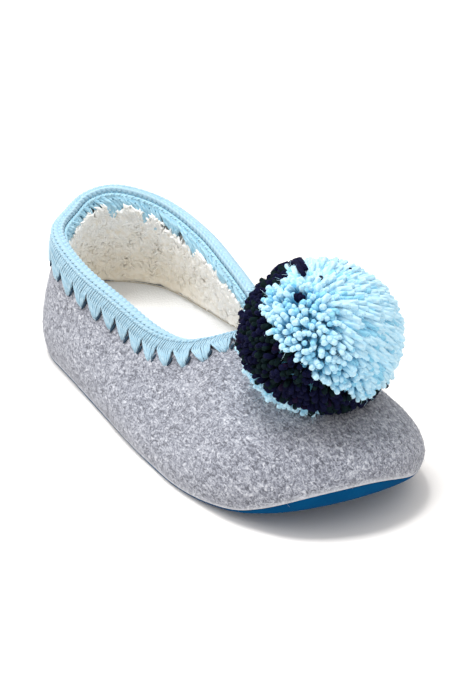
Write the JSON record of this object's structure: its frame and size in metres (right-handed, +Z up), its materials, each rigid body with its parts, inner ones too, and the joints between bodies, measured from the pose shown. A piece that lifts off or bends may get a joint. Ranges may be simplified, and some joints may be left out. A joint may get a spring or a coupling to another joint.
{
  "type": "felt slipper",
  "caption": "Low-cut felt house slipper for the right foot, with fleece lining, crocheted collar edging and a yarn pompom.",
  "frame": {"origin": "on the floor, under the middle of the slipper's bounding box", "axes": "+X to the toe, +Y to the inner side of the foot, +Z up"},
  "size_m": [0.2448, 0.095, 0.096],
  "materials": {
    "outsole": "matt, soft blue sole",
    "insole": "padded white cloth",
    "upper": "heathered grey wool felt",
    "crochet_edging": "light blue yarn",
    "pompom": "light blue yarn with a navy band"
  },
  "bodies": {
    "root": {"outsole": "outsole", "insole": "insole", "upper": "upper", "crochet_edging": "crochet_edging", "pompom": "pompom"}
  },
  "joints": []
}
